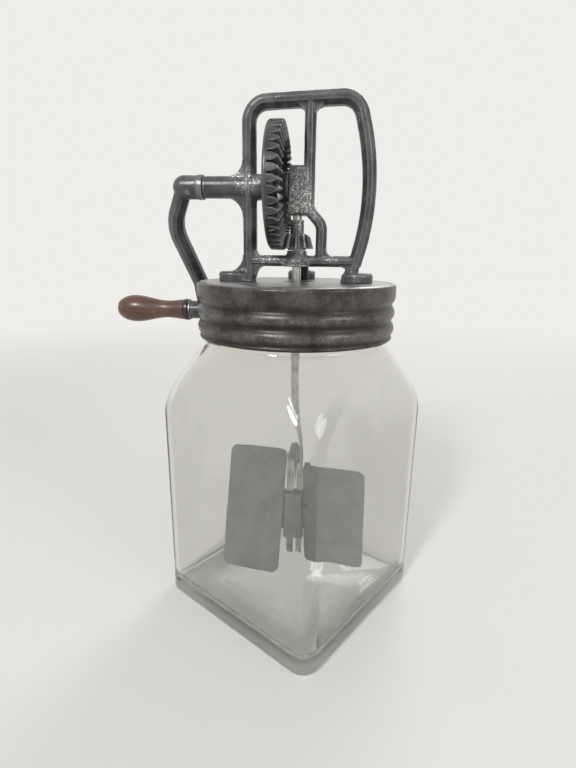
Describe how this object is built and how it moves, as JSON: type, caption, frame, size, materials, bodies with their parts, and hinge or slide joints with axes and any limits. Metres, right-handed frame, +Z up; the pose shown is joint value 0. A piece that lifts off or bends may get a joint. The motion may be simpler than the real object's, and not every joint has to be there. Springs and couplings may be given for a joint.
{
  "type": "butter churn",
  "caption": "Hand-cranked butter churn with a square glass jar, beaded screw cap, cast-iron gear frame, bevel gears, bowed crank with a wooden grip, and a pitched-paddle dasher.",
  "frame": {"origin": "centre of the jar's flat base", "axes": "+Z up from the base to the top bar; X along the crank shaft, crank at -X and hand grip at +X; +Y towards the rear foot"},
  "size_m": [0.2473, 0.1884, 0.3643],
  "materials": {
    "clear_glass": "clear, slightly warm grey in thick places",
    "seal_rubber": "old red-brown rubber",
    "aged_tin": "dark patina, worn bright on the beads",
    "cast_iron": "satin grey-black, worn bright at edges",
    "dark_steel": "dull",
    "bright_steel": "bright",
    "black_iron": "black",
    "grip_wood": "red-brown varnish, worn glossy",
    "paddle_tin": "dull grey sheet"
  },
  "bodies": {
    "jar": {"glass_jar": "clear_glass"},
    "seal": {"cap_gasket": "seal_rubber"},
    "cap": {"screw_cap": "aged_tin", "gear_frame": "cast_iron", "frame_screws": "dark_steel", "frame_nuts": "dark_steel", "shaft_bush": "dark_steel"},
    "crank": {"crank_shaft": "bright_steel", "thrust_collar": "dark_steel", "crank_arm": "cast_iron", "crank_pin": "dark_steel", "drive_gear": "cast_iron", "gear_pin": "dark_steel", "grip_spindle": "dark_steel", "grip_washer": "dark_steel"},
    "grip": {"wood_grip": "grip_wood", "grip_ferrule": "black_iron"},
    "dasher": {"dasher_shaft": "bright_steel", "thrust_washer": "dark_steel", "pinion": "cast_iron", "pinion_pin": "dark_steel", "paddle_hub": "paddle_tin", "hub_pin": "bright_steel", "left_paddle": "paddle_tin", "right_paddle": "paddle_tin", "paddle_rivets": "paddle_tin"}
  },
  "joints": [
    {"name": "cap_lift", "type": "slide", "parent": "jar", "child": "seal", "axis": [0, 0, 1], "range_m": [0, 0.24]},
    {"name": "cap_turn", "type": "hinge", "parent": "seal", "child": "cap", "pos_m": [0, 0, 0.2445], "axis": [0, 0, 1], "range_deg": [0, 540]},
    {"name": "crank_turn", "type": "hinge", "parent": "cap", "child": "crank", "pos_m": [-0.04, 0, 0.307], "axis": [1, 0, 0], "continuous": true},
    {"name": "grip_spin", "type": "hinge", "parent": "crank", "child": "grip", "pos_m": [-0.12, 0.04695, 0.21871], "axis": [1, 0, 0], "continuous": true},
    {"name": "dasher_spin", "type": "hinge", "parent": "cap", "child": "dasher", "pos_m": [0, 0, 0.2], "axis": [0, 0, 1], "continuous": true}
  ],
  "couplings": [
    {"joint": "dasher_spin", "follows": "crank_turn", "ratio": -4}
  ]
}
